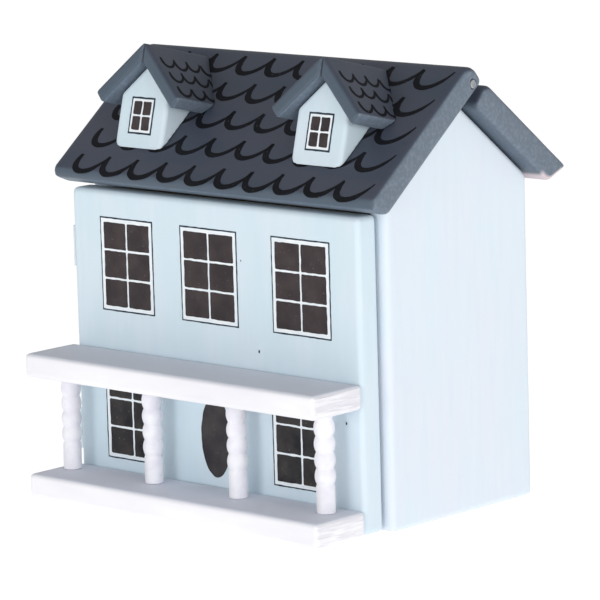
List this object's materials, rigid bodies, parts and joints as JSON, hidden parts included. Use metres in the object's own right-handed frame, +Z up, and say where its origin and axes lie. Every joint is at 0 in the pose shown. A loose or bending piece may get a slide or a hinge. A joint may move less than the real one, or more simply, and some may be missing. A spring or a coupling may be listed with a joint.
{
  "type": "miniature wooden house",
  "caption": "Painted wooden miniature house with a gabled roof, two dormers and a porch; its front board and front roof slope swing open.",
  "frame": {"origin": "under the middle of the house walls, on the underside of the base board", "axes": "+Z up, -Y towards the front board and porch, +X to the right seen from the front"},
  "size_m": [0.094, 0.0758, 0.0991],
  "materials": {
    "pale_blue_paint": "brushed matt paint over wood, faint grain, worn edges",
    "white_paint": "brushed matt paint over wood, end grain showing",
    "slate_paint": "dark blue-grey matt paint over wood, worn edges",
    "bare_wood": "bare sanded softwood",
    "ink": "thin hand-painted black and brown decoration, matt",
    "brass": "small pressed butt hinge, dull",
    "steel": "dull nail head"
  },
  "bodies": {
    "house": {"base_board": "bare_wood", "upper_floor": "bare_wood", "attic_floor": "bare_wood", "left_wall": "pale_blue_paint", "right_wall": "pale_blue_paint", "back_wall": "pale_blue_paint", "rear_roof": "slate_paint", "lower_hinge_wall_leaf": "brass", "lower_hinge_pin": "brass", "upper_hinge_wall_leaf": "brass", "upper_hinge_pin": "brass", "wall_leaf_brad_1": "brass", "wall_leaf_brad_2": "brass", "wall_leaf_brad_3": "brass", "wall_leaf_brad_4": "brass"},
    "front": {"front_board": "pale_blue_paint", "porch_floor": "white_paint", "porch_roof": "white_paint", "porch_post_1": "white_paint", "porch_post_2": "white_paint", "porch_post_3": "white_paint", "porch_post_4": "white_paint", "lower_hinge_front_leaf": "brass", "upper_hinge_front_leaf": "brass", "front_leaf_brad_1": "brass", "front_leaf_brad_2": "brass", "front_leaf_brad_3": "brass", "front_leaf_brad_4": "brass"},
    "roof": {"front_roof": "slate_paint", "left_roof_nail": "steel", "right_roof_nail": "steel", "left_dormer_body": "pale_blue_paint", "left_dormer_roof_left": "slate_paint", "left_dormer_roof_right": "slate_paint", "right_dormer_body": "pale_blue_paint", "right_dormer_roof_left": "slate_paint", "right_dormer_roof_right": "slate_paint"}
  },
  "joints": [
    {"name": "front_hinge", "type": "hinge", "parent": "house", "child": "front", "pos_m": [-0.0444, -0.02305, 0], "axis": [0, 0, -1], "range_deg": [0, 110]},
    {"name": "roof_hinge", "type": "hinge", "parent": "house", "child": "roof", "pos_m": [0, 0.00123, 0.0918], "axis": [-1, 0, 0], "range_deg": [0, 100]}
  ]
}
